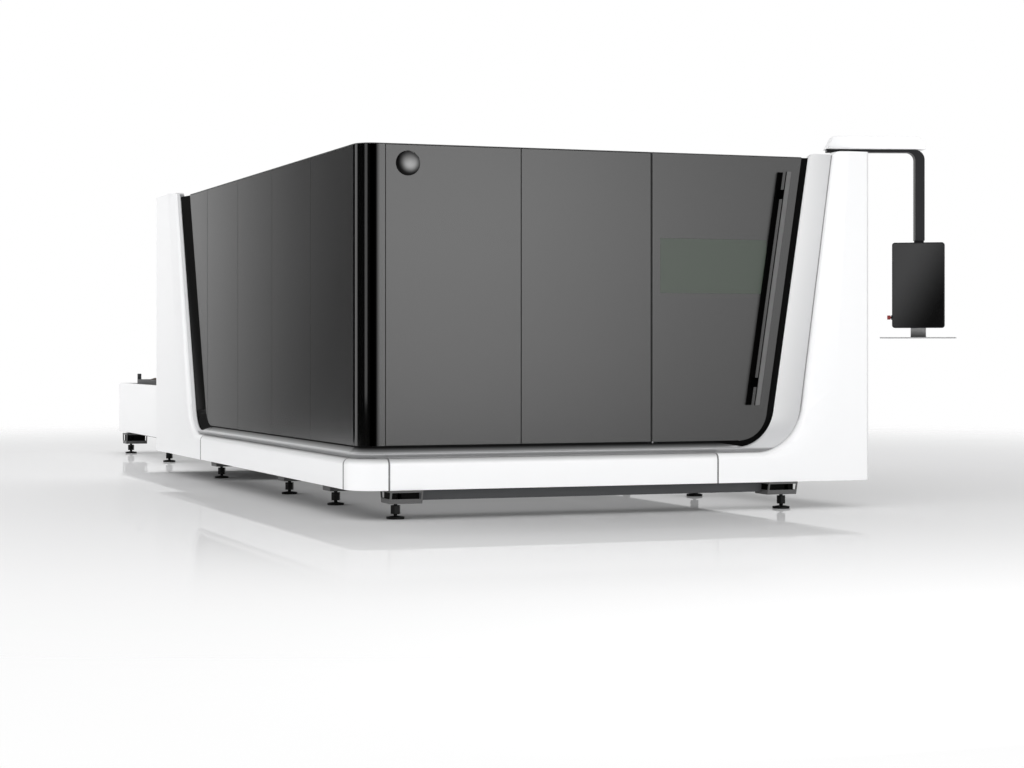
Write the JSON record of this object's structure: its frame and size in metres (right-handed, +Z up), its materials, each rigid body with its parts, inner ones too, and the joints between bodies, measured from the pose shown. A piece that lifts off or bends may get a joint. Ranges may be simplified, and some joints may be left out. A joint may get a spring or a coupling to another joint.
{
  "type": "fiber laser cutting machine",
  "caption": "Fully enclosed fiber laser cutting machine with an exchange table, hinged front door, moving gantry and a monitor on a swivel arm.",
  "frame": {"origin": "on the floor under the middle of the whole machine's bounding box", "axes": "+Z up, +Y from the front with the door to the exchange table at the back, +X to the machine's right"},
  "size_m": [3.566, 8.4656, 2.099],
  "materials": {
    "white_paint": "smooth white powder coat",
    "grey_paint": "satin dark grey powder coat",
    "roof_paint": "satin dark grey powder coat",
    "silver_trim": "satin silver moulding",
    "rubber": "matt black rubber",
    "frame_paint": "grey painted steel tube",
    "bed_paint": "grey painted welded steel",
    "steel": "machined steel",
    "slat_steel": "bare mild steel plate",
    "foot_steel": "blackened steel",
    "black_plastic": "gloss black plastic",
    "black_paint": "satin black powder coat",
    "window_glass": "tinted laser safety glass",
    "screen_glass": "dark screen glass",
    "red_plastic": "gloss red plastic",
    "aluminium": "anodised aluminium"
  },
  "bodies": {
    "door": {"door_panel": "grey_paint", "door_window": "window_glass", "door_handle": "black_paint", "door_pivot_pins": "steel"},
    "gantry": {"gantry_beam": "aluminium", "gantry_trucks": "steel"},
    "carriage": {"carriage": "aluminium"},
    "cutting_head": {"z_slide": "aluminium", "cutting_head": "black_paint"},
    "upper_pallet": {"upper_pallet_frame": "bed_paint", "upper_pallet_slats": "slat_steel"},
    "lower_pallet": {"lower_pallet_frame": "bed_paint", "lower_pallet_slats": "slat_steel"},
    "arm": {"arm_tube": "black_paint", "arm_cover": "white_paint"},
    "monitor": {"monitor_housing": "black_paint", "monitor_screen": "screen_glass", "shelf_bracket": "steel", "keyboard_shelf": "silver_trim"},
    "stop_button": {"stop_button": "red_plastic"},
    "machine": {"skirt_corner": "white_paint", "skirt_front": "white_paint", "skirt_left": "white_paint", "skirt_right": "white_paint", "front_column": "white_paint", "rear_left_column": "white_paint", "rear_right_column": "white_paint", "trim_corner": "silver_trim", "trim_front": "silver_trim", "trim_left": "silver_trim", "trim_front_column": "silver_trim", "trim_rear_left": "silver_trim", "trim_right": "silver_trim", "gasket_front": "rubber", "gasket_left": "rubber", "gasket_right": "rubber", "corner_panel": "grey_paint", "front_panel_1": "grey_paint", "front_panel_2": "grey_paint", "left_panels": "grey_paint", "right_panels": "grey_paint", "badge": "black_plastic", "frame_rails": "frame_paint", "frame_posts": "frame_paint", "roof_panels": "roof_paint", "rear_wall": "white_paint", "foot_brackets": "foot_steel", "foot_screws": "foot_steel", "foot_nuts": "foot_steel", "foot_pads": "foot_steel", "base_beams": "frame_paint", "bed_beams": "bed_paint", "guide_rails": "steel", "pallet_tracks": "bed_paint", "table_beams": "frame_paint", "table_cross_members": "frame_paint", "table_cover": "white_paint", "laser_source": "white_paint", "arm_pivot": "white_paint"}
  },
  "joints": [
    {"name": "door_hinge", "type": "hinge", "parent": "machine", "child": "door", "pos_m": [-0.07746, -4.00319, 0.384], "axis": [0, 0, -1], "range_deg": [0, 100]},
    {"name": "gantry_slide", "type": "slide", "parent": "machine", "child": "gantry", "axis": [0, 1, 0], "range_m": [0, 3.05]},
    {"name": "carriage_slide", "type": "slide", "parent": "gantry", "child": "carriage", "axis": [1, 0, 0], "range_m": [0, 1.46]},
    {"name": "head_slide", "type": "slide", "parent": "carriage", "child": "cutting_head", "axis": [0, 0, -1], "range_m": [0, 0.14]},
    {"name": "lower_pallet_slide", "type": "slide", "parent": "machine", "child": "lower_pallet", "axis": [0, 1, 0], "range_m": [0, 3.685]},
    {"name": "upper_pallet_slide", "type": "slide", "parent": "machine", "child": "upper_pallet", "axis": [0, -1, 0], "range_m": [0, 3.685]},
    {"name": "arm_swivel", "type": "hinge", "parent": "machine", "child": "arm", "pos_m": [1.15404, -3.82619, 2.009], "axis": [0, 0, 1], "range_deg": [-25, 45]},
    {"name": "monitor_tilt", "type": "hinge", "parent": "arm", "child": "monitor", "pos_m": [1.60389, -3.97236, 1.461], "axis": [0.829, -0.5592, 0], "range_deg": [-15, 10]},
    {"name": "stop_button_press", "type": "slide", "parent": "monitor", "child": "stop_button", "axis": [0.829, -0.5592, 0], "range_m": [0, 0.004], "stiffness_N_per_m": 1500}
  ],
  "couplings": [
    {"joint": "upper_pallet_slide", "follows": "lower_pallet_slide", "ratio": 1}
  ]
}
